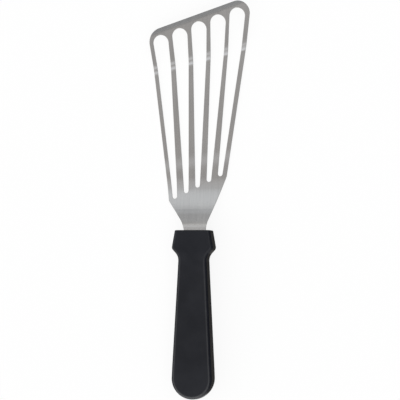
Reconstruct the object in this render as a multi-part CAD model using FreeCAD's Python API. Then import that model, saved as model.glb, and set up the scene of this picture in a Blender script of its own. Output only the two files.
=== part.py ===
import FreeCAD
import Part
import math
import os

# Slotted fish spatula lying on a table: a thin cranked steel blade whose tang is moulded into a
# one-piece handle. +Y runs from the handle to the front edge, +Z is up, and the table is z = 0.
# While it is built, x = 0 is the handle's centre line and y = 0 the handle's front face. At the
# end both pieces are moved so that the middle of their common box stands over the origin.
# Lengths are millimetres and angles are degrees. Plan points are (x, y), seen from above.

# Blade sheet, as seen from the side
sheet_thickness = 1.2
flat_start = 40.0        # from the handle's face to where the flat of the blade starts
crank_angle = 16.8       # slope of the crank between the neck and the flat
crank_lower_radius = 84.0
crank_upper_radius = 14.0

# Upturned lip, folded along a slanted line across the tines
lip_start = 128.5        # on the centre line
lip_slant = 12.5
lip_angle = 12.0
lip_radius = 33.0

# Head outline
front_reach = 164.9      # front edge on the centre line
front_slant = 17.4
left_corner_radius = 11.5
right_corner_radius = 9.2
left_tine_width = 3.0
right_tine_width = 3.4
left_shoulder = 22.8     # where each side of the head turns in to the neck
right_shoulder = 41.2
shoulder_radius = 3.5
neck_left = 7.75
neck_right = 9.25
left_neck_foot = 3.4
right_neck_foot = 4.3
neck_radius = 20.0

# Drain slots: tapered, round-ended, evenly spaced along two slanted lines
slot_count = 5
slot_rear_radius = 1.85
slot_rear_middle = (0.93, 34.8)
slot_rear_pitch = 9.8
slot_rear_slant = 25.7
slot_front_radius = 5.98
slot_front_offset = 2.32
slot_front_pitch = 15.75
front_bar_width = 5.05

# Ground front edge
bevel_width = 3.0
edge_thickness = 0.45

# Tang, inside the handle
tang_length = 98.0
tang_half_width = 5.5
tang_shoulder_depth = 7.0
tang_shoulder_radius = 1.0
tang_end_radius = 5.0
tang_hole_radius = 3.0
tang_hole_count = 3
tang_hole_first = 22.0
tang_hole_pitch = 30.0

# Handle, plan
handle_length = 127.6
collar_half_width = 13.95
collar_length = 14.0
collar_shoulder_half_width = 16.5
grip_start = 19.9
grip_half_width = 11.1
grip_radius = 8.0
butt_half_width = 15.8

# Handle, side
collar_half_height = 7.8
waist_at = 32.0
waist_half_height = 7.2
belly_at = 104.0
belly_half_height = 8.0
butt_half_height = 7.0
side_blend_radius = 160.0
draft_angle = 3.0
long_edge_radius = 2.8
collar_shoulder_radius = long_edge_radius + 0.6     # in plan, so that the rounding runs round it
face_edge_radius = 0.7

underside = 0.0
flat_middle = underside + sheet_thickness / 2
tang_middle = underside + belly_half_height
far = 400.0              # longer than the whole part, for cutting tools
hair = 0.01              # lengths under this count as nothing


def vector(point, z=0.0):
    return FreeCAD.Vector(point[0], point[1], z)


def along(angle):
    """Unit vector in plan, turned by an angle from +X towards +Y."""
    a = math.radians(angle)
    return FreeCAD.Vector(math.cos(a), math.sin(a), 0)


def rounded_edges(corners, closed=True):
    """Edges through (point, radius) corners, each rounded by an arc of its radius."""
    ends = []
    for i, (corner, radius) in enumerate(corners):
        if radius == 0:
            ends.append((corner, None, corner))
            continue
        before = (corners[i - 1][0] - corner).normalize()
        after = (corners[(i + 1) % len(corners)][0] - corner).normalize()
        half = before.getAngle(after) / 2
        reach = radius / math.tan(half)
        middle = (before + after).normalize() * (radius / math.sin(half) - radius)
        ends.append((corner + before * reach, corner + middle, corner + after * reach))
    edges = []
    for i, (start, middle, end) in enumerate(ends):
        if middle is not None:
            edges.append(Part.Arc(start, middle, end).toShape())
        if closed or i + 1 < len(ends):
            edges.append(Part.LineSegment(end, ends[(i + 1) % len(ends)][0]).toShape())
    return edges


def crossing(point_a, way_a, point_b, way_b):
    """Where two lines in plan meet, each given by a point and a way."""
    across = FreeCAD.Vector(-way_b.y, way_b.x, 0)
    return point_a + way_a * ((point_b - point_a).dot(across) / way_a.dot(across))


def slot_centres():
    """Rear and front arc centres of each slot, from left to right."""
    front_line = vector((0, front_reach))
    front_way = along(front_slant)
    inward = FreeCAD.Vector(front_way.y, -front_way.x, 0)
    inset = front_line + inward * (front_bar_width + slot_front_radius)
    middle = inset + front_way * ((slot_front_offset - inset.x) / front_way.x)
    centres = []
    for i in range(slot_count):
        step = i - (slot_count - 1) / 2
        rear = vector(slot_rear_middle) + along(slot_rear_slant) * (step * slot_rear_pitch)
        centres.append((rear, middle + front_way * (step * slot_front_pitch)))
    return centres


def slot_side(rear, front, side, grow=0.0):
    """Tangent points of a slot's straight side, side -1 left or 1 right, grown outwards."""
    way = front - rear
    spread = math.asin((slot_front_radius - slot_rear_radius) / way.Length)
    heading = math.atan2(way.y, way.x) - side * (math.pi / 2 + spread)
    normal = FreeCAD.Vector(math.cos(heading), math.sin(heading), 0)
    return (rear + normal * (slot_rear_radius + grow), front + normal * (slot_front_radius + grow))


def slot_wire(rear, front):
    """One tapered slot: two arcs joined by their common tangents."""
    way = (front - rear).normalize()
    left_rear, left_front = slot_side(rear, front, -1)
    right_rear, right_front = slot_side(rear, front, 1)
    tip = front + way * slot_front_radius
    foot = rear - way * slot_rear_radius
    return Part.Wire([
        Part.LineSegment(left_rear, left_front).toShape(),
        Part.Arc(left_front, tip, right_front).toShape(),
        Part.LineSegment(right_front, right_rear).toShape(),
        Part.Arc(right_rear, foot, left_rear).toShape(),
    ])


def blade_outline():
    """Outer edge of the blade in plan, from the tang round the head and back."""
    centres = slot_centres()
    left_rear, left_front = slot_side(*centres[0], -1, left_tine_width)
    right_rear, right_front = slot_side(*centres[-1], 1, right_tine_width)
    left = (left_rear, left_front - left_rear)
    right = (right_rear, right_front - right_rear)
    front = (vector((0, front_reach)), along(front_slant))
    across = along(0)
    return Part.Wire(rounded_edges([
        (crossing(*left, *front), left_corner_radius),
        (crossing(*right, *front), right_corner_radius),
        (crossing(*right, vector((0, right_shoulder)), across), shoulder_radius),
        (vector((neck_right, right_neck_foot)), neck_radius),
        (vector((neck_right, -tang_shoulder_depth)), 0),
        (vector((tang_half_width, -tang_shoulder_depth)), tang_shoulder_radius),
        (vector((tang_half_width, -tang_length)), tang_end_radius),
        (vector((-tang_half_width, -tang_length)), tang_end_radius),
        (vector((-tang_half_width, -tang_shoulder_depth)), tang_shoulder_radius),
        (vector((-neck_left, -tang_shoulder_depth)), 0),
        (vector((-neck_left, left_neck_foot)), neck_radius),
        (crossing(*left, vector((0, left_shoulder)), across), shoulder_radius),
    ]))


def blade_blank():
    """The stamped blank: the plan outline less the slots and the tang's keying holes."""
    holes = [slot_wire(rear, front) for rear, front in slot_centres()]
    for i in range(tang_hole_count):
        centre = vector((0, -(tang_hole_first + i * tang_hole_pitch)))
        holes.append(Part.Wire(Part.makeCircle(tang_hole_radius, centre)))
    face = Part.Face([blade_outline()] + holes, "Part::FaceMakerBullseye")
    face.translate(FreeCAD.Vector(0, 0, -far / 2))
    return face.extrude(FreeCAD.Vector(0, 0, far))


def bent_sheet(start, moves):
    """Side face (in the YZ plane, at x = 0) of a sheet that starts along +Y. Each move is
    (length, 0) for a straight run, or (radius, angle) for a bend, upwards when positive."""
    half = sheet_thickness / 2
    place = start
    heading = 0.0
    upper = []
    lower = []

    def side_point(centre, angle, distance):
        return centre + FreeCAD.Vector(0, -math.sin(angle), math.cos(angle)) * distance

    for size, bend in moves:
        if bend == 0:
            end = place + FreeCAD.Vector(0, math.cos(heading), math.sin(heading)) * size
            for edges, offset in ((upper, half), (lower, -half)):
                points = [side_point(p, heading, offset) for p in (place, end)]
                edges.append(Part.LineSegment(*points).toShape())
            place = end
            continue
        turn = math.radians(bend)
        up = 1 if turn > 0 else -1
        centre = side_point(place, heading, up * size)
        for edges, offset in ((upper, half), (lower, -half)):
            reach = offset - up * size
            angles = (heading, heading + turn / 2, heading + turn)
            edges.append(Part.Arc(*[side_point(centre, a, reach) for a in angles]).toShape())
        heading += turn
        place = side_point(centre, heading, -up * size)
    for angle, point in ((0.0, start), (heading, place)):
        points = [side_point(point, angle, offset) for offset in (half, -half)]
        upper.append(Part.LineSegment(*points).toShape())
    return Part.Face(Part.Wire(Part.sortEdges(upper + lower)[0]))


def cranked_strip():
    """Sheet from the tang's end over the crank to the flat, up to the lip's fold line."""
    drop = tang_middle - flat_middle
    slope = math.radians(crank_angle)
    curved_drop = (crank_lower_radius + crank_upper_radius) * (1 - math.cos(slope))
    ramp = (drop - curved_drop) / math.sin(slope)
    crank_run = ((crank_lower_radius + crank_upper_radius) * math.sin(slope)
                 + ramp * math.cos(slope))
    neck_end = flat_start - crank_run
    start = FreeCAD.Vector(0, -tang_length, tang_middle)
    side = bent_sheet(start, [
        (tang_length + neck_end, 0),
        (crank_upper_radius, -crank_angle),
        (ramp, 0),
        (crank_lower_radius, crank_angle),
        (far, 0),
    ])
    side.translate(FreeCAD.Vector(-far / 2, 0, 0))
    strip = side.extrude(FreeCAD.Vector(far, 0, 0))
    ahead = Part.makeBox(far * 2, far * 2, far)
    ahead.translate(FreeCAD.Vector(-far, 0, -far / 2))
    return strip.cut(on_fold_line(ahead))


def on_fold_line(shape):
    """Turns a shape built along X and Y at the origin onto the lip's slanted fold line."""
    shape.rotate(FreeCAD.Vector(), FreeCAD.Vector(0, 0, 1), lip_slant)
    shape.translate(vector((0, lip_start)))
    return shape


def lip_strip():
    """Sheet ahead of the fold line: the bend and the upturned lip."""
    side = bent_sheet(FreeCAD.Vector(0, 0, flat_middle), [(lip_radius, lip_angle), (far / 2, 0)])
    side.translate(FreeCAD.Vector(-far / 2, 0, 0))
    return on_fold_line(side.extrude(FreeCAD.Vector(far, 0, 0)))


def lip_height(point, above_middle):
    """Height over a plan point ahead of the bend, of the layer of the lip that lies this far
    above the middle of its sheet."""
    ahead = (point - vector((0, lip_start))).dot(along(lip_slant + 90))
    tilt = math.radians(lip_angle)
    bend_run = lip_radius * math.sin(tilt)
    bend_rise = lip_radius * (1 - math.cos(tilt))
    middle = flat_middle + bend_rise + (ahead - bend_run) * math.tan(tilt)
    return middle + above_middle / math.cos(tilt)


def bevel_cutter():
    """Everything above the ground bevel on the lip's upper side."""
    half = sheet_thickness / 2
    front = vector((0, front_reach))
    aside = front + along(front_slant) * far
    behind = front + along(front_slant - 90) * bevel_width
    front.z = lip_height(front, edge_thickness - half)
    aside.z = lip_height(aside, edge_thickness - half)
    behind.z = lip_height(behind, half)
    edge = aside - front
    back = (behind - front) * (far / bevel_width)
    low = front - back
    high = front + back
    corners = [low - edge, low + edge, high + edge, high - edge]
    sheet = Part.Face(Part.makePolygon(corners + corners[:1]))
    return sheet.extrude(FreeCAD.Vector(0, 0, far))


def make_blade():
    """The blade, cut to the blank's outline from the formed strips and ground at the front."""
    blank = blade_blank()
    formed = cranked_strip().common(blank).fuse(lip_strip().common(blank))
    return formed.cut(bevel_cutter()).removeSplitter()


def handle_plan():
    """Handle outline in plan: flared collar, narrow grip and a round butt. Its front end runs
    on past the face, where the side outline trims it."""
    face_corner = vector((collar_half_width, 0))
    shoulder = vector((collar_shoulder_half_width, -collar_length))
    grip = vector((grip_half_width, -grip_start))
    butt_centre = vector((0, butt_half_width - handle_length))
    reach = grip - butt_centre
    turn = math.atan2(reach.y, reach.x) - math.acos(butt_half_width / reach.Length)
    tangent = butt_centre + FreeCAD.Vector(math.cos(turn), math.sin(turn), 0) * butt_half_width
    right = [
        (tangent, 0),
        (grip, grip_radius),
        (shoulder, collar_shoulder_radius),
        (face_corner * 2 - shoulder, 0),
    ]
    left = [(FreeCAD.Vector(-p.x, p.y, 0), r) for p, r in reversed(right)]
    butt = Part.Arc(left[-1][0], vector((0, -handle_length)), tangent).toShape()
    return Part.Wire(rounded_edges(right + left, closed=False) + [butt])


def handle_side():
    """Handle seen from the side, as a face in the YZ plane about the tang's middle."""
    upper = [
        (0, collar_half_height, 0),
        (waist_at, waist_half_height, side_blend_radius),
        (belly_at, belly_half_height, side_blend_radius),
        (handle_length, butt_half_height, 0),
    ]
    corners = [(FreeCAD.Vector(0, -y, h), r) for y, h, r in upper]
    corners += [(FreeCAD.Vector(0, -y, -h), r) for y, h, r in reversed(upper)]
    side = Part.Face(Part.Wire(rounded_edges(corners)))
    side.translate(FreeCAD.Vector(-far / 2, 0, tang_middle))
    return side


def drafted_half(plan, height):
    """The plan raised to a height, its walls leaning in by the draft angle."""
    inset = plan.makeOffset2D(-abs(height) * math.tan(math.radians(draft_angle)))
    inset.translate(FreeCAD.Vector(0, 0, height))
    half = Part.makeLoft([plan, inset], True, True)
    half.translate(FreeCAD.Vector(0, 0, tang_middle))
    return half


def is_rim(edge):
    """Whether an edge of the unrounded handle is where its top or underside meets a wall."""
    box = edge.BoundBox
    clear = waist_half_height / 2
    raised = box.ZMin > tang_middle + clear or box.ZMax < tang_middle - clear
    return raised and box.YLength > hair


def make_handle(blade):
    """The handle, moulded round the tang so that its plastic also fills the keying holes."""
    plan = handle_plan()
    height = 2 * belly_half_height
    block = drafted_half(plan, height).fuse(drafted_half(plan, -height))
    body = block.common(handle_side().extrude(FreeCAD.Vector(far, 0, 0))).removeSplitter()
    body = body.makeFillet(long_edge_radius, [e for e in body.Edges if is_rim(e)])
    face_edges = [e for e in body.Edges if all(abs(v.Point.y) < hair for v in e.Vertexes)]
    return body.makeFillet(face_edge_radius, face_edges).cut(blade)


def centred(shapes):
    """The shapes, moved so that the middle of their common box stands over the origin."""
    box = FreeCAD.BoundBox()
    for shape in shapes:
        box.add(shape.optimalBoundingBox(False))
    move = FreeCAD.Vector(-box.Center.x, -box.Center.y, -box.ZMin)
    for shape in shapes:
        shape.translate(move)
    print("moved by", tuple(round(c, 4) for c in move))
    return shapes


blade = make_blade()
handle = make_handle(blade)
os.makedirs("parts", exist_ok=True)
for name, shape in zip(("blade", "handle"), centred([blade, handle])):
    print(name, "solids", len(shape.Solids), "valid", shape.isValid(),
          "volume", round(shape.Volume, 1), "faces", len(shape.Faces))
    shape.exportStep("parts/" + name + ".step")
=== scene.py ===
import math

import bmesh
import bpy
from mathutils import Matrix, Vector


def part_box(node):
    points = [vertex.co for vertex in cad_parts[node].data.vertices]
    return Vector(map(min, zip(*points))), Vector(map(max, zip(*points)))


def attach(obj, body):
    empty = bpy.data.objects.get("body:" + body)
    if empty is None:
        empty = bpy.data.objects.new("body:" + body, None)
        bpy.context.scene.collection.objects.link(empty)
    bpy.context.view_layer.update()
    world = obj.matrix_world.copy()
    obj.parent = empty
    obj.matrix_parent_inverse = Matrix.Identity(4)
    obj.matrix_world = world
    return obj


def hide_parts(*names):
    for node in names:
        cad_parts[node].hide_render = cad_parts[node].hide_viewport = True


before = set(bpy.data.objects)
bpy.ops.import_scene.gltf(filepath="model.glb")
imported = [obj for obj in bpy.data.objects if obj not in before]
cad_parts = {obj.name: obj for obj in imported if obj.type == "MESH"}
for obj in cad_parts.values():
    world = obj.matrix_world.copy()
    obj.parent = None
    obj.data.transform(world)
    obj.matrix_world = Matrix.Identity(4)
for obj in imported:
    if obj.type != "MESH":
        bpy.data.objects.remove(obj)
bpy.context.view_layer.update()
print("frame loaded, nodes:", ", ".join(sorted(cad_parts)))

# Both pieces are drawn in millimetres with the handle's front face on y = 0 and its centre line
# on x = 0. settlePiece() then brings each one to metres and to its place in the frame.
handleLow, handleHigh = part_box("handle")
drawingOrigin = Vector(((handleLow.x + handleHigh.x) / 2, handleHigh.y, 0))
mm = 0.001
middleHeight = 8.0       # mm over the table, of the tang's middle and the handle's parting plane
farRun = 400             # mm, longer than the whole tool
hair = 0.01              # mm, heights under this count as nothing
sameSpot = 0.001         # mm, points this close are one point
mergeReach = 0.002       # mm, doubles this close are merged
levelFace = 0.9          # how upright the normal of a level face is, at least


# what the pen does: an outline grows out of one point by extruding and spinning it

def penDown(point):
    bpy.ops.mesh.select_all(action="DESELECT")
    bpy.ops.mesh.primitive_plane_add(size=1, location=point)
    bpy.ops.mesh.merge(type="CENTER")
    return point.copy()


def lineTo(pen, point):
    if (point - pen).length > sameSpot:
        bpy.ops.mesh.extrude_region_move(TRANSFORM_OT_translate={"value": point - pen})
    return point.copy()


def arcAbout(pen, centre, turn, arcStep):
    steps = max(3, math.ceil(abs(math.degrees(turn)) / arcStep))
    bpy.ops.mesh.spin(steps=steps, angle=-turn, center=centre, axis=(0, 0, 1))  # spin counts clockwise
    return centre + Matrix.Rotation(turn, 3, "Z") @ (pen - centre)


def cornerStrokes(corners):
    # each (corner, radius) becomes where its arc starts, the arc's centre, its turn and its end
    strokes = []
    for i, (corner, radius) in enumerate(corners):
        if radius == 0:
            strokes.append((corner, None, 0, corner))
            continue
        before = (corners[i - 1][0] - corner).normalized()
        after = (corners[(i + 1) % len(corners)][0] - corner).normalized()
        half = before.angle(after) / 2
        centre = corner + (before + after).normalized() * radius / math.sin(half)
        turn = math.copysign(math.pi - 2 * half, after.cross(before).z)
        reach = radius / math.tan(half)
        strokes.append((corner + before * reach, centre, turn, corner + after * reach))
    return strokes


def drawStrokes(pen, strokes, arcStep):
    for start, centre, turn, _ in strokes:
        pen = lineTo(pen, start)
        if centre is not None:
            pen = arcAbout(pen, centre, turn, arcStep)
    return pen


def newDrawing(name):
    bpy.ops.object.select_all(action="DESELECT")
    bpy.ops.mesh.primitive_plane_add(size=1)
    piece = bpy.context.object
    piece.name = name
    piece.data.name = name
    bpy.ops.object.mode_set(mode="EDIT")
    bpy.ops.mesh.select_mode(type="VERT")
    bpy.ops.mesh.delete(type="VERT")
    return piece


def joinEnds():
    bpy.ops.mesh.select_all(action="SELECT")
    bpy.ops.mesh.remove_doubles(threshold=mergeReach)


def pick(piece, kind, wanted):
    bpy.ops.mesh.select_mode(type=kind)
    bpy.ops.mesh.select_all(action="DESELECT")
    mesh = bmesh.from_edit_mesh(piece.data)
    for item in {"EDGE": mesh.edges, "FACE": mesh.faces}[kind]:
        if wanted(item):
            item.select_set(True)
    bmesh.update_edit_mesh(piece.data)


def scoreLine(point, normal):
    # a cut right across the piece, along which it can bend
    bpy.ops.mesh.select_all(action="SELECT")
    bpy.ops.mesh.bisect(plane_co=point, plane_no=normal)


def faceOutwards():
    bpy.ops.mesh.select_all(action="SELECT")
    bpy.ops.mesh.normals_make_consistent(inside=False)


def settlePiece(piece, smoothUnder):
    piece.scale = (mm, mm, mm)
    piece.location = drawingOrigin
    bpy.ops.object.select_all(action="DESELECT")
    piece.select_set(True)
    bpy.context.view_layer.objects.active = piece
    bpy.ops.object.transform_apply(location=True, rotation=True, scale=True)
    bpy.ops.object.shade_smooth_by_angle(angle=math.radians(smoothUnder), keep_sharp_edges=True)
    evenNormals = piece.modifiers.new("even normals", "WEIGHTED_NORMAL")
    evenNormals.keep_sharp = True
    bpy.ops.object.modifier_apply(modifier=evenNormals.name)


# blade: a stamped fan with five drain slots, a cranked neck, an upturned lip and a tang, in mm
# and degrees, with plan sizes from the handle's face and centre line

blade = {
    "thickness": 1.2,
    "rimChamfer": 0.14,                    # the stamped edges are tumbled smooth
    "flatStart": 40.0, "crankAngle": 16.8, "crankLower": 84.0, "crankUpper": 14.0,
    "lipStart": 128.5, "lipSlant": 12.5, "lipAngle": 12.0, "lipRadius": 33.0,
    "frontReach": 164.9, "frontSlant": 17.4, "leftCorner": 11.5, "rightCorner": 9.2,
    "leftTine": 3.0, "rightTine": 3.4,
    "leftShoulder": 22.8, "rightShoulder": 41.2, "shoulderRadius": 3.5,
    "neckLeft": 7.75, "neckRight": 9.25, "leftFoot": 3.4, "rightFoot": 4.3, "neckRadius": 20.0,
    "slots": 5, "rearRadius": 1.85, "rearMiddle": (0.93, 34.8), "rearPitch": 9.8, "rearSlant": 25.7,
    "frontRadius": 5.98, "frontOffset": 2.32, "frontPitch": 15.75, "frontBar": 5.05,
    "groundWidth": 3.0, "groundEdge": 0.45,
    "tangLength": 98.0, "tangHalf": 5.5, "tangShoulder": 7.0, "tangRadius": 1.0, "tangEnd": 5.0,
    "holeRadius": 3.0, "holes": 3, "firstHole": 22.0, "holePitch": 30.0,
    "arcStep": 5.0, "slotEndStep": 10, "holeStep": 15,       # degrees to each side of an arc
    "upperScores": 8, "lowerScores": 16, "lipScores": 12,    # how many flats make up each bend
    "flatHold": 0.8, "neckHold": 0.4,      # score lines just outside the crank keep the sheet flat
    "smoothUnder": 30,
}


def wayAt(angle):
    return Vector((math.cos(math.radians(angle)), math.sin(math.radians(angle)), 0))


def crossing(pointA, wayA, pointB, wayB):
    across = Vector((-wayB.y, wayB.x, 0))
    return pointA + wayA * ((pointB - pointA).dot(across) / wayA.dot(across))


def slotCentres(b):
    frontWay = wayAt(b["frontSlant"])
    inward = wayAt(b["frontSlant"] - 90)
    inset = Vector((0, b["frontReach"], 0)) + inward * (b["frontBar"] + b["frontRadius"])
    middle = inset + frontWay * ((b["frontOffset"] - inset.x) / frontWay.x)
    rearMiddle = Vector((*b["rearMiddle"], 0))
    steps = [i - (b["slots"] - 1) / 2 for i in range(b["slots"])]
    return [(rearMiddle + wayAt(b["rearSlant"]) * step * b["rearPitch"],
             middle + frontWay * step * b["frontPitch"]) for step in steps]


def slotSide(b, rear, front, side, grow=0.0):
    # where a slot's straight side touches its two arcs, side -1 for left and 1 for right
    way = front - rear
    spread = math.asin((b["frontRadius"] - b["rearRadius"]) / way.length)
    square = wayAt(math.degrees(math.atan2(way.y, way.x) - side * (math.pi / 2 + spread)))
    return (rear + square * (b["rearRadius"] + grow), front + square * (b["frontRadius"] + grow),
            spread)


def drawSlot(b, rear, front):
    leftRear, leftFront, spread = slotSide(b, rear, front, -1)
    rightRear = slotSide(b, rear, front, 1)[0]
    pen = lineTo(penDown(leftRear), leftFront)
    pen = arcAbout(pen, front, -(math.pi + 2 * spread), b["arcStep"])
    pen = lineTo(pen, rightRear)
    arcAbout(pen, rear, -(math.pi - 2 * spread), b["slotEndStep"])


def bladeCorners(b):
    centres = slotCentres(b)
    leftRear, leftFront, _ = slotSide(b, *centres[0], -1, b["leftTine"])
    rightRear, rightFront, _ = slotSide(b, *centres[-1], 1, b["rightTine"])
    left = (leftRear, leftFront - leftRear)
    right = (rightRear, rightFront - rightRear)
    front = (Vector((0, b["frontReach"], 0)), wayAt(b["frontSlant"]))

    def at(x, y):
        return Vector((x, y, 0))

    return [
        (crossing(*left, *front), b["leftCorner"]),
        (crossing(*right, *front), b["rightCorner"]),
        (crossing(*right, at(0, b["rightShoulder"]), wayAt(0)), b["shoulderRadius"]),
        (at(b["neckRight"], b["rightFoot"]), b["neckRadius"]),
        (at(b["neckRight"], -b["tangShoulder"]), 0),
        (at(b["tangHalf"], -b["tangShoulder"]), b["tangRadius"]),
        (at(b["tangHalf"], -b["tangLength"]), b["tangEnd"]),
        (at(-b["tangHalf"], -b["tangLength"]), b["tangEnd"]),
        (at(-b["tangHalf"], -b["tangShoulder"]), b["tangRadius"]),
        (at(-b["neckLeft"], -b["tangShoulder"]), 0),
        (at(-b["neckLeft"], b["leftFoot"]), b["neckRadius"]),
        (crossing(*left, at(0, b["leftShoulder"]), wayAt(0)), b["shoulderRadius"]),
    ]


def layerHeight(start, moves, ahead, offset):
    # height over a point that lies this far ahead, of the layer this far above the sheet's middle
    y, z = start
    heading = 0.0
    for size, bend in moves:
        turn = math.radians(bend)
        if turn:
            radius = math.copysign(size, turn)
            middleY = y - radius * math.sin(heading)
            middleZ = z + radius * math.cos(heading)
            heading += turn
            y = middleY + radius * math.sin(heading)
            z = middleZ - radius * math.cos(heading)
            if ahead < y - offset * math.sin(heading):
                reach = radius - offset
                return middleZ - reach * math.sqrt(1 - ((ahead - middleY) / reach) ** 2)
        else:
            y += size * math.cos(heading)
            z += size * math.sin(heading)
            edge = y - offset * math.sin(heading)
            if ahead <= edge:
                return z + offset * math.cos(heading) + (ahead - edge) * math.tan(heading)
    return z + offset


def crankMoves(b):
    drop = middleHeight - b["thickness"] / 2
    slope = math.radians(b["crankAngle"])
    curved = b["crankLower"] + b["crankUpper"]
    ramp = (drop - curved * (1 - math.cos(slope))) / math.sin(slope)
    neckEnd = b["flatStart"] - curved * math.sin(slope) - ramp * math.cos(slope)
    return neckEnd, [(b["tangLength"] + neckEnd, 0), (b["crankUpper"], -b["crankAngle"]), (ramp, 0),
                     (b["crankLower"], b["crankAngle"]), (farRun, 0)]


def makeBlade(b):
    piece = newDrawing("slotted_blade")
    strokes = cornerStrokes(bladeCorners(b))
    drawStrokes(penDown(strokes[-1][3]), strokes, b["arcStep"])
    for rear, front in slotCentres(b):
        drawSlot(b, rear, front)
    for i in range(b["holes"]):
        centre = Vector((0, -b["firstHole"] - i * b["holePitch"], 0))
        pen = penDown(centre + Vector((b["holeRadius"], 0, 0)))
        arcAbout(pen, centre, 2 * math.pi, b["holeStep"])
    joinEnds()
    bpy.ops.mesh.fill(use_beauty=True)
    print("blade drawn:", len(slotCentres(b)), "slots and", b["holes"], "tang holes")

    # the blank gets its thickness, then both faces are drawn in a little round every edge
    t, chamfer = b["thickness"], b["rimChamfer"]
    bpy.ops.mesh.select_mode(type="FACE")
    bpy.ops.mesh.select_all(action="SELECT")
    bpy.ops.transform.translate(value=(0, 0, chamfer))
    bpy.ops.mesh.extrude_region_move(TRANSFORM_OT_translate={"value": (0, 0, t - 2 * chamfer)})
    faceOutwards()
    for side in (1, -1):
        pick(piece, "FACE", lambda f: f.normal.z * side > levelFace)
        bpy.ops.mesh.inset(thickness=chamfer, depth=chamfer, use_even_offset=True)

    # score lines across the crank and the lip, and behind the ground front edge
    neckEnd, moves = crankMoves(b)
    slope = math.radians(b["crankAngle"])
    upperRun = b["crankUpper"] * math.sin(slope)
    lowerRun = b["crankLower"] * math.sin(slope)
    lines = [neckEnd + upperRun * i / b["upperScores"] for i in range(b["upperScores"] + 1)]
    lines += [b["flatStart"] - lowerRun * i / b["lowerScores"] for i in range(b["lowerScores"] + 1)]
    lines += [b["flatStart"] + b["flatHold"], neckEnd - b["neckHold"]]
    for y in lines:
        scoreLine((0, y, 0), (0, 1, 0))
    foldAhead = wayAt(b["lipSlant"] + 90)
    foldLine = Vector((0, b["lipStart"], 0))
    foldRun = b["lipRadius"] * math.sin(math.radians(b["lipAngle"]))
    for i in range(-1, b["lipScores"] + 2):             # one line more on either side of the bend
        scoreLine(foldLine + foldAhead * foldRun * i / b["lipScores"], foldAhead)
    frontInward = wayAt(b["frontSlant"] - 90)
    frontLine = Vector((0, b["frontReach"], 0))
    scoreLine(frontLine + frontInward * b["groundWidth"], frontInward)
    bpy.ops.mesh.mark_sharp()                           # the ground strip ends in a crisp line
    bpy.ops.object.mode_set(mode="OBJECT")

    # every point goes up to the height of its own layer of the formed sheet, and the top layer
    # goes down over the ground strip
    half = t / 2
    slopeOfGround = (t - b["groundEdge"]) / b["groundWidth"]
    lip = [(b["lipRadius"], b["lipAngle"]), (farRun, 0)]
    for vertex in piece.data.vertices:
        place = Vector((vertex.co.x, vertex.co.y, 0))
        fromFront = (place - frontLine).dot(frontInward)
        offset = min(vertex.co.z - half, b["groundEdge"] - half + max(fromFront, 0) * slopeOfGround)
        ahead = (place - foldLine).dot(foldAhead)
        if ahead > 0:
            vertex.co.z = layerHeight((0, half), lip, ahead, offset)
        else:
            vertex.co.z = layerHeight((-b["tangLength"], middleHeight), moves, place.y, offset)
    print("blade bent:", len(piece.data.polygons), "faces")
    return piece


# handle: one moulding with a flared collar, a waisted grip and a round butt, in mm and degrees

handle = {
    "length": 127.6, "collarHalf": 13.95, "collarLength": 14.0, "shoulderHalf": 16.5,
    "shoulderRadius": 3.4, "gripStart": 19.9, "gripHalf": 11.1, "gripRadius": 8.0, "buttHalf": 15.8,
    # half heights at the face, the waist and the belly, each after how far behind the face it is
    "sideProfile": [(0.0, 7.8), (32.0, 7.2), (104.0, 7.998)], "buttHalfHeight": 7.0,
    "sideBlend": 160.0,
    "draft": 3.0, "edgeRadius": 2.8, "edgeSteps": 7, "faceRadius": 0.7, "faceSteps": 4,
    "overrun": 0.4,                        # share of the collar's side drawn past the face, then cut off
    "scorePitch": 3.5, "plainButt": 4.0,   # score lines stop at least this far before the end
    "arcStep": 9, "buttStep": 3,           # degrees to each side of an arc
    "smoothUnder": 40,
}


def halfHeight(h, behind):
    # straight runs of the side profile, with each corner blended over its arc's length
    stops = h["sideProfile"] + [(h["length"], h["buttHalfHeight"])]
    for (y0, z0), (y1, z1) in zip(stops, stops[1:]):
        if behind <= y1 or y1 == stops[-1][0]:
            height = z0 + (z1 - z0) * (behind - y0) / (y1 - y0)
            break
    for (y0, z0), (y1, z1), (y2, z2) in zip(stops, stops[1:], stops[2:]):
        turn = (z2 - z1) / (y2 - y1) - (z1 - z0) / (y1 - y0)
        reach = abs(turn) * h["sideBlend"] / 2
        away = abs(behind - y1)
        if away < reach:
            height += math.copysign((reach - away) ** 2 / (2 * h["sideBlend"]), turn)
    return height


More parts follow.
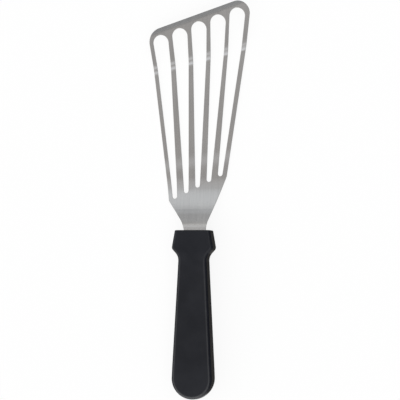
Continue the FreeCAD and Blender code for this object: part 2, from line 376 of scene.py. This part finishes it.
def makeHandle(h, bladePiece):
    piece = newDrawing("moulded_handle")
    face = Vector((h["collarHalf"], 0, 0))
    shoulder = Vector((h["shoulderHalf"], -h["collarLength"], 0))
    grip = Vector((h["gripHalf"], -h["gripStart"], 0))
    buttCentre = Vector((0, h["buttHalf"] - h["length"], 0))
    reach = grip - buttCentre
    turn = math.atan2(reach.y, reach.x) - math.acos(h["buttHalf"] / reach.length)
    tangent = buttCentre + Vector((math.cos(turn), math.sin(turn), 0)) * h["buttHalf"]
    pastFace = face + (face - shoulder) * h["overrun"]
    right = [(tangent, 0), (grip, h["gripRadius"]), (shoulder, h["shoulderRadius"]), (pastFace, 0)]
    left = [(Vector((-p.x, p.y, 0)), r) for p, r in reversed(right)]
    pen = drawStrokes(penDown(tangent), cornerStrokes(right + left), h["arcStep"])
    arcAbout(pen, buttCentre, 2 * turn + math.pi, h["buttStep"])
    joinEnds()
    bpy.ops.mesh.edge_face_add()
    bpy.ops.mesh.select_mode(type="FACE")
    bpy.ops.mesh.select_all(action="SELECT")
    print("handle drawn")

    # the drafted wall and the rounding over it, as one inset after another
    draft = math.radians(h["draft"])
    top = max(z for _, z in h["sideProfile"])
    r = h["edgeRadius"]
    centreUp = top - r
    centreIn = centreUp * math.tan(draft) + r / math.cos(draft)
    angles = [draft + (math.pi / 2 - draft) * i / h["edgeSteps"] for i in range(h["edgeSteps"] + 1)]
    rings = [(centreIn - r * math.cos(a), centreUp + r * math.sin(a)) for a in angles]
    outline = bmesh.from_edit_mesh(piece.data)
    outline.normal_update()
    outline.faces.ensure_lookup_table()
    if outline.faces[0].normal.z < 0:
        bpy.ops.mesh.flip_normals()
    inset, raised = 0.0, 0.0
    for ringIn, ringUp in rings:
        bpy.ops.mesh.inset(thickness=ringIn - inset, depth=ringUp - raised, use_even_offset=True)
        inset, raised = ringIn, ringUp

    # score lines let the upper half follow the side profile
    for i in range(int((h["length"] - h["plainButt"]) / h["scorePitch"])):
        scoreLine((0, -h["scorePitch"] * (i + 1), 0), (0, 1, 0))
    bpy.ops.object.mode_set(mode="OBJECT")
    wallTop = rings[0][1]
    for vertex in piece.data.vertices:
        if vertex.co.z > hair:
            lift = halfHeight(h, -vertex.co.y) - top
            vertex.co.z += lift * min(vertex.co.z / wallTop, 1)

    # the lower half mirrors it, and the front end is cut off at the face, closed and rounded
    bothSides = piece.modifiers.new("other side", "MIRROR")
    bothSides.use_axis = (False, False, True)
    bothSides.merge_threshold = mergeReach
    bpy.ops.object.modifier_apply(modifier=bothSides.name)
    bpy.ops.object.mode_set(mode="EDIT")
    joinEnds()
    bpy.ops.mesh.select_all(action="SELECT")
    bpy.ops.mesh.bisect(plane_co=(0, 0, 0), plane_no=(0, 1, 0), clear_outer=True, use_fill=True)
    faceOutwards()
    pick(piece, "EDGE", lambda e: all(abs(v.co.y) < sameSpot for v in e.verts))
    bpy.ops.mesh.bevel(offset=h["faceRadius"], segments=h["faceSteps"], affect="EDGES")
    bpy.ops.mesh.select_all(action="SELECT")
    bpy.ops.transform.translate(value=(0, 0, middleHeight))
    bpy.ops.object.mode_set(mode="OBJECT")

    # the plastic is moulded round the tang
    mouldedRound = piece.modifiers.new("tang", "BOOLEAN")
    mouldedRound.object = bladePiece
    mouldedRound.operation = "DIFFERENCE"
    mouldedRound.solver = "EXACT"
    bpy.ops.object.modifier_apply(modifier=mouldedRound.name)
    print("handle moulded:", len(piece.data.polygons), "faces")
    return piece


bladePiece = makeBlade(blade)
handlePiece = makeHandle(handle, bladePiece)
settlePiece(bladePiece, blade["smoothUnder"])
settlePiece(handlePiece, handle["smoothUnder"])


# finishes

class Value:
    # an output socket that ordinary arithmetic can be written on
    def __init__(self, sheet, socket):
        self.sheet = sheet
        self.socket = socket

    def math(self, operation, *others):
        inputs = dict(enumerate((self,) + others))
        return self.sheet.node("ShaderNodeMath", {"operation": operation}, inputs)

    def __add__(self, other):
        return self.math("ADD", other)

    def __sub__(self, other):
        return self.math("SUBTRACT", other)

    def __rsub__(self, other):
        return self.sheet.node("ShaderNodeMath", {"operation": "SUBTRACT"}, {0: other, 1: self})

    def __mul__(self, other):
        return self.math("MULTIPLY", other)

    def __truediv__(self, other):
        return self.math("DIVIDE", other)

    def __abs__(self):
        return self.math("ABSOLUTE")

    __radd__ = __add__
    __rmul__ = __mul__


class Sheet:
    # the node tree of one finish
    def __init__(self, tree):
        self.tree = tree
        tree.nodes.clear()

    def node(self, kind, settings=None, inputs=None, out=0):
        made = self.tree.nodes.new(kind)
        for name, setting in (settings or {}).items():
            setattr(made, name, setting)
        for key, given in (inputs or {}).items():
            if isinstance(given, Value):
                self.tree.links.new(given.socket, made.inputs[key])
            else:
                made.inputs[key].default_value = given
        return Value(self, made.outputs[out]) if made.outputs else None

    def split(self, vector):
        first = self.node("ShaderNodeSeparateXYZ", inputs={0: vector})
        return [Value(self, socket) for socket in first.socket.node.outputs]

    def noise(self, vector, scale=1.0, detail=2.0, roughness=0.5):
        return self.node("ShaderNodeTexNoise", inputs={
            "Vector": vector, "Scale": scale, "Detail": detail, "Roughness": roughness})

    def stretched(self, vector, width, length, turn=0.0):
        # a pattern's own coordinates, so that one unit of it is this wide and long in mm
        return self.node("ShaderNodeMapping", {"vector_type": "TEXTURE"}, {
            "Vector": vector, "Scale": (width * mm, length * mm, 1), "Rotation": (0, 0, turn)})

    def ease(self, value, low, high, toLow=0.0, toHigh=1.0):
        return self.node("ShaderNodeMapRange", {"interpolation_type": "SMOOTHSTEP"},
                         {"Value": value, "From Min": low, "From Max": high,
                          "To Min": toLow, "To Max": toHigh})

    def blend(self, factor, colourA, colourB):
        # a mix node's colours are its sockets 6 and 7 and its output 2
        colours = [c if isinstance(c, Value) else (*c, 1.0) for c in (colourA, colourB)]
        return self.node("ShaderNodeMix", {"data_type": "RGBA"},
                         {0: factor, 6: colours[0], 7: colours[1]}, out=2)


def newFinish(name):
    finish = bpy.data.materials.new(name)
    finish.use_nodes = True
    return finish, Sheet(finish.node_tree)


def wearFinish(piece, finish):
    piece.data.materials.clear()
    piece.data.materials.append(finish)


steel = {
    # brushed lengthwise: fine streaks in broader bands, each so many mm wide and long
    "light": (0.66, 0.645, 0.63), "dark": (0.55, 0.54, 0.535),
    "streaks": (0.22, 26.0), "bands": (1.4, 60), "streakDepth": 0.0045, "cloudsPerMetre": 30.0,
    "toneShares": (0.5, 0.3, 0.3), "toneRange": (0.35, 0.75),      # of streaks, bands and clouds
    "rim": (0.50, 0.49, 0.48), "rimFrom": (0.35, 0.8),
    # the painted highlight colour of the bands along the fold and over the neck's bends
    "paintedHighlight": (0.81, 0.81, 0.815),
    # lines along the fold: where each starts, peaks and ends in mm ahead of the fold,
    # how bright a highlight is painted on it, and how high the folding tool pressed it in mm
    "foldLines": [((-1.6, 0.9, 3.4), 1.0, 0.34), ((3.0, 4.9, 9.0), 0.35, 0.0)],
    "foldFan": 1.3,                                   # degrees
    # the ground strip, which fades out between so many mm from the front edge, and its marks
    "groundLight": (0.39, 0.385, 0.38), "groundDark": (0.325, 0.32, 0.318),
    "groundFade": (2.2, 4.8), "groundFacing": (0.0, 0.5),
    "marks": (0.3, 7), "markSlant": 38.0, "markShares": (0.8, 0.2), "markRange": (0.38, 0.62),
    # painted highlights over the neck's bends: mm before the handle, half width, slant in degrees,
    # strength
    "neckHighlights": [(53.0, 7.0, 8.0, 0.75), (36.5, 5.0, 0.0, 0.60),
             (14.9, 3.6, 0.0, 0.66), (0.0, 4.5, 0.0, 1.0)],
    "warm": (0.57, 0.545, 0.52), "warmTo": (4.0, 8.0),          # a tint close to the handle
    "roughness": 0.17,                                # and by how much each layer changes it
    "roughBy": {"streaks": 0.08, "clouds": 0.05, "rim": 0.15, "ground": 0.10, "warm": 0.08,
                "paintedHighlight": -0.04},
}


def brushedSteel(s, b):
    finish, sheet = newFinish("brushed_steel")
    coordinates = sheet.node("ShaderNodeTexCoord", out="Object")
    streaks = sheet.noise(sheet.stretched(coordinates, *s["streaks"]), detail=3.0, roughness=0.6)
    bands = sheet.noise(sheet.stretched(coordinates, *s["bands"]))
    clouds = sheet.noise(coordinates, s["cloudsPerMetre"], detail=3.0)
    x, y, _ = sheet.split(coordinates)
    facing = sheet.split(sheet.node("ShaderNodeNewGeometry", out="Normal"))[2]

    def measured(point, way):
        # mm from a drawn point, counted along a level direction
        start = drawingOrigin + Vector((point[0], point[1], 0)) * mm
        return (x * way.x + y * way.y - start.dot(way)) / mm

    # painted highlights along the fold, where the folding tool also pressed lines, then painted
    # highlights over the neck
    ahead = measured((0, b["lipStart"]), wayAt(b["lipSlant"] + s["foldFan"] + 90))
    paintedHighlight, pressed = 0.0, streaks * s["streakDepth"]
    for (start, peak, end), highlight, height in s["foldLines"]:
        paintedHighlight = sheet.ease(ahead, start, peak) * sheet.ease(ahead, peak, end, highlight, 0.0) + paintedHighlight
        if height:
            pressed = sheet.ease(ahead, start, end) * height + pressed
    for at, halfWidth, slant, highlight in s["neckHighlights"]:
        away = abs(measured((0, at), wayAt(slant + 90)))
        paintedHighlight = sheet.ease(away, 0.0, halfWidth, highlight, 0.0) + paintedHighlight

    fromFront = measured((0, b["frontReach"]), wayAt(b["frontSlant"] - 90))
    ground = sheet.ease(fromFront, *s["groundFade"], 1.0, 0.0) * sheet.ease(facing, *s["groundFacing"])
    warm = sheet.ease(measured((0, 0), wayAt(90)), *s["warmTo"], 1.0, 0.0)
    rim = sheet.ease(abs(facing), *s["rimFrom"], 1.0, 0.0)

    # the colour, from the brushing up to the rim
    ofStreaks, ofBands, ofClouds = s["toneShares"]
    tone = streaks * ofStreaks + bands * ofBands + clouds * ofClouds
    colour = sheet.blend(sheet.ease(tone, *s["toneRange"]), s["dark"], s["light"])
    colour = sheet.blend(warm, colour, s["warm"])
    # the painted highlights along the fold and over the neck
    colour = sheet.blend(paintedHighlight, colour, s["paintedHighlight"])
    scratches = sheet.noise(sheet.stretched(coordinates, *s["marks"], math.radians(s["markSlant"] - 90)))
    ofScratches, ofClouds = s["markShares"]
    marks = sheet.ease(scratches * ofScratches + clouds * ofClouds, *s["markRange"])
    colour = sheet.blend(ground, colour, sheet.blend(marks, s["groundDark"], s["groundLight"]))
    colour = sheet.blend(rim, colour, s["rim"])

    # streaks and clouds are one half on average, which is taken off again
    by = s["roughBy"]
    rough = (streaks * by["streaks"] + clouds * by["clouds"]
             + (s["roughness"] - (by["streaks"] + by["clouds"]) / 2)
             + rim * by["rim"] + ground * by["ground"] + warm * by["warm"] + paintedHighlight * by["paintedHighlight"])
    bump = sheet.node("ShaderNodeBump", inputs={"Distance": mm, "Height": pressed})
    shader = sheet.node("ShaderNodeBsdfPrincipled", inputs={
        "Base Color": colour, "Metallic": 1.0, "Roughness": rough, "Normal": bump})
    sheet.node("ShaderNodeOutputMaterial", inputs={0: shader})
    return finish


plastic = {
    "colour": (0.0050, 0.0058, 0.0094),
    # the lighter tone of random wear, and of the painted sheen behind the collar
    "wornAndSheen": (0.0098, 0.0109, 0.0154), "wearShares": (0.7, 0.3), "wearRange": (0.38, 0.8),
    "gripMiddle": 64.0, "gripReach": (20.0, 55.0), "gripWear": 0.22,   # mm; the grip's middle is dark
    # a painted sheen in the hollows behind the collar
    "thumb": (7.8, 20.0), "thumbReach": 6.5, "thumbSheen": 0.20,         # mm sideways and behind the face
    # the side walls are painted lighter, standing in for the pale table they mirror
    "paintedFlankLight": (0.0205, 0.0190, 0.0178), "flankFrom": (0.02, 0.30),
    "grain": 0.35, "cloudsPerMetre": 45.0,            # grain in mm
    "dull": 0.8, "roughBy": {"clouds": 0.10, "grain": 0.06}, "specular": 0.05,
    # a coat stands for the polish of use, and the flanks and the collar have less of it
    "polish": 0.56, "polishRoughness": 0.34, "dullFrom": (0.5, 0.85),
    "polishShares": (0.5, 0.5), "polishLeast": 0.5,
    "collarPolish": 0.46, "collarTo": (15.0, 29.0),   # mm behind the face
    # painted highlights along the side edges, by how far they lean sideways, and more so towards the
    # butt
    "edgeHighlightLean": (0.02, 0.34, 0.38, 0.50), "edgeHighlight": 0.018,
    "edgeFrom": 40.0, "edgeGrowth": (0.8, 1.4),       # mm behind the face
    # and a painted highlight round the butt's edge, by how far it leans back and how little sideways
    "buttHighlight": (0.08, 0.64), "buttSides": (0.25, 0.65), "buttHighlightShare": 0.030,
    "buttFrom": (98.0, 114.0),                        # mm behind the face
    "partingHalf": 0.12, "partingRise": 2.0,          # mm, and times the grain
    "bumpStrength": 0.35, "bumpDepth": 0.02,          # mm
}


def mouldedPlastic(s, h):
    finish, sheet = newFinish("moulded_plastic")
    coordinates = sheet.node("ShaderNodeTexCoord", out="Object")
    grain = sheet.noise(coordinates, 1 / (s["grain"] * mm), detail=2.0, roughness=0.6)
    clouds = sheet.noise(coordinates, s["cloudsPerMetre"], detail=3.0, roughness=0.55)
    x, y, z = sheet.split(coordinates)
    sideways, endways, upwards = sheet.split(sheet.node("ShaderNodeNewGeometry", out="Normal"))
    leaning = abs(sideways)
    behind = (drawingOrigin.y - y) / mm

    # a painted sheen in the two hollows behind the collar, where thumb and finger sit, which adds to the
    # polish too
    thumbX = abs(x - drawingOrigin.x) / mm - s["thumb"][0]
    thumbY = behind - s["thumb"][1]
    thumb = (thumbX * thumbX + thumbY * thumbY).math("SQRT")
    thumb = sheet.ease(thumb, 0.0, s["thumbReach"], s["thumbSheen"], 0.0)
    ofClouds, ofGrain = s["wearShares"]
    wearAndSheen = (clouds * ofClouds + grain * ofGrain + thumb
            + sheet.ease(abs(behind - s["gripMiddle"]), *s["gripReach"]) * s["gripWear"])
    # lighter where worn, and where the painted sheen behind the collar lies
    colour = sheet.blend(sheet.ease(wearAndSheen, *s["wearRange"]), s["colour"], s["wornAndSheen"])
    # painted light on the side walls, where they face sideways
    paintedFlankLight = sheet.ease(abs(upwards), *s["flankFrom"], 1.0, 0.0)
    colour = sheet.blend(paintedFlankLight, colour, s["paintedFlankLight"])

    # the painted highlight line along each side, then the one round the butt
    start, full, fading, end = s["edgeHighlightLean"]
    sideHighlight = (sheet.ease(leaning, start, full) * sheet.ease(leaning, fading, end, 1.0, 0.0)
                * sheet.ease(behind, *s["collarTo"])
                * sheet.ease(behind, s["edgeFrom"], h["length"], *s["edgeGrowth"])
                * sheet.ease(abs(endways), *s["buttHighlight"], s["edgeHighlight"], 0.0))
    buttHighlight = (sheet.ease(0.0 - endways, *s["buttHighlight"])
                * sheet.ease(behind, *s["buttFrom"], 0.0, s["buttHighlightShare"])
                * sheet.ease(leaning, *s["buttSides"], 1.0, 0.0))
    # the painted highlights are mixed towards white
    colour = sheet.blend(sideHighlight + buttHighlight, colour, (1.0, 1.0, 1.0))

    ofGrain, ofClouds = s["polishShares"]
    polish = (sheet.ease(leaning, *s["dullFrom"], s["polish"], 0.0)
              * sheet.ease(behind, *s["collarTo"], s["collarPolish"] / s["polish"], 1.0)
              * (grain * ofGrain + clouds * ofClouds + thumb + s["polishLeast"]))
    by = s["roughBy"]
    rough = clouds * by["clouds"] + grain * by["grain"] + (s["dull"] - (by["clouds"] + by["grain"]) / 2)
    parting = sheet.ease(abs(z / mm - middleHeight), 0.0, s["partingHalf"], 1.0, 0.0)
    bump = sheet.node("ShaderNodeBump", inputs={
        "Strength": s["bumpStrength"], "Distance": s["bumpDepth"] * mm,
        "Height": grain + parting * s["partingRise"]})
    shader = sheet.node("ShaderNodeBsdfPrincipled", inputs={
        "Base Color": colour, "Roughness": rough, "Specular IOR Level": s["specular"],
        "Normal": bump, "Coat Weight": polish, "Coat Roughness": s["polishRoughness"]})
    sheet.node("ShaderNodeOutputMaterial", inputs={0: shader})
    return finish


wearFinish(bladePiece, brushedSteel(steel, blade))
wearFinish(handlePiece, mouldedPlastic(plastic, handle))
for piece, node, slot in ((bladePiece, "blade", "blade_steel"),
                          (handlePiece, "handle", "handle_plastic")):
    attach(piece, "root")
    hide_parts(node)
print("finishes on")


# table, studio and camera

# degrees across, for the panels over the blade
overBlade = (-52, -40, 14, 26)
overBladeWide = (-64, -56, 20, 28)

studio = {
    "tableSize": 3.0, "tableColour": 0.98, "tableGlow": 0.885,
    "tableGap": 0.2,                       # mm under the tool
    "walls": (1.17, 1.17, 1.18),
    # panels of the tent, each with the four angles across and along, in degrees from straight up,
    # between which it fades in, is full and fades out; along is negative over the handle
    "panels": [
        # the dim wall on the right, the lamp on the butt's side, and the strip along the right that
        # draws the light line on the handle's edge
        {"colour": (0.32, 0.32, 0.34), "across": (44, 52, 196, 204), "along": (-210, -200, 200, 210)},
        {"colour": (2.4, 2.4, 2.35), "across": (-78, -62, 42, 58), "along": (-110, -100, -42, -20)},
        {"colour": (1.3, 1.3, 1.33), "across": (24, 30, 40, 46), "along": (-70, -66, 66, 70)},
        # the grey that the flat mirrors, with a dark band for the ramp and a duller end for the lip
        {"colour": (0.465, 0.455, 0.447), "across": overBlade, "along": (-40, -28, 48, 60)},
        {"colour": (0.08, 0.078, 0.075), "across": overBlade, "along": (35.4, 37.8, 39.0, 47.0)},
        {"colour": (0.375, 0.37, 0.365), "across": overBlade, "along": (-40, -28, -17, -12)},
        # bright bands for the crank and for the start of the lip
        {"colour": (0.80, 0.83, 0.855), "across": overBladeWide, "along": (9.0, 19.5, 34.5, 36.6)},
        {"colour": (0.72, 0.725, 0.735), "across": overBladeWide, "along": (-12.0, -9.5, -5.0, -2.5)},
    ],
}


def layTable(s):
    bpy.ops.object.select_all(action="DESELECT")
    bpy.ops.mesh.primitive_plane_add(size=s["tableSize"], location=(0, 0, -s["tableGap"] * mm))
    table = bpy.context.object
    table.name = "table"
    finish, sheet = newFinish("pale_table")
    diffuse = sheet.node("ShaderNodeBsdfDiffuse", inputs={"Color": (*[s["tableColour"]] * 3, 1.0)})
    glow = sheet.node("ShaderNodeEmission", inputs={"Color": (1, 1, 1, 1), "Strength": 1.0})

    # seen straight, mirrored or through something, the table is mostly one even white
    straight = sheet.node("ShaderNodeLightPath", out="Is Camera Ray")
    mirrored, through = [Value(sheet, straight.socket.node.outputs[name])
                         for name in ("Is Glossy Ray", "Is Transmission Ray")]
    seen = straight.math("MAXIMUM", mirrored).math("MAXIMUM", through) * s["tableGlow"]
    mix = sheet.node("ShaderNodeMixShader", inputs={0: seen, 1: diffuse, 2: glow})
    sheet.node("ShaderNodeOutputMaterial", inputs={0: mix})
    wearFinish(table, finish)


def lightStudio(s):
    world = bpy.data.worlds.new("light_tent")
    bpy.context.scene.world = world
    world.use_nodes = True
    sheet = Sheet(world.node_tree)
    direction = sheet.node("ShaderNodeTexCoord", out="Generated")
    right, front, up = sheet.split(direction)
    across = right.math("ARCTAN2", up) * math.degrees(1)
    along = front.math("ARCTAN2", up) * math.degrees(1)
    light = s["walls"]
    for panel in s["panels"]:
        mask = 1.0
        for angle, stops in ((across, panel["across"]), (along, panel["along"])):
            start, full, fading, end = stops
            mask = sheet.ease(angle, start, full) * sheet.ease(angle, fading, end, 1.0, 0.0) * mask
        light = sheet.blend(mask, light, panel["colour"])
    background = sheet.node("ShaderNodeBackground", inputs={"Color": light, "Strength": 1.0})
    sheet.node("ShaderNodeOutputWorld", inputs={0: background})


# the camera looks down from almost straight above, a little from the right and from the butt
view = {
    "fromRight": 13.0, "fromButt": 3.0, "roll": 0.278,              # degrees
    "aim": (0.005, -0.1558, 0.0),          # mm from the tool's middle
    "distance": 1.05, "clipStart": 0.01,   # metres
    "mmPerPixel": 0.765, "photoWidth": 400, "sensor": 36.0,         # the sensor's width is in mm
}


def aimCamera(v):
    right, butt = math.radians(v["fromRight"]), math.radians(v["fromButt"])
    back = Vector((math.sin(right) * math.cos(butt), -math.sin(butt), math.cos(right) * math.cos(butt)))
    up = (Vector((0, 1, 0)) - back * back.y).normalized()
    across = up.cross(back)
    roll = math.radians(v["roll"])
    turned = across * math.cos(roll) + up * math.sin(roll)
    upright = up * math.cos(roll) - across * math.sin(roll)
    camera = bpy.data.objects.new("camera", bpy.data.cameras.new("camera"))
    bpy.context.scene.collection.objects.link(camera)
    camera.matrix_world = Matrix((turned, upright, back)).transposed().to_4x4()
    camera.location = Vector(v["aim"]) * mm + back * v["distance"]
    camera.data.sensor_width = v["sensor"]
    camera.data.lens = v["distance"] / (v["mmPerPixel"] * mm) * v["sensor"] / v["photoWidth"]
    camera.data.clip_start = v["clipStart"]
    bpy.context.scene.camera = camera


layTable(studio)
lightStudio(studio)
aimCamera(view)
bpy.context.scene.view_settings.view_transform = "Standard"

print("scene ready")
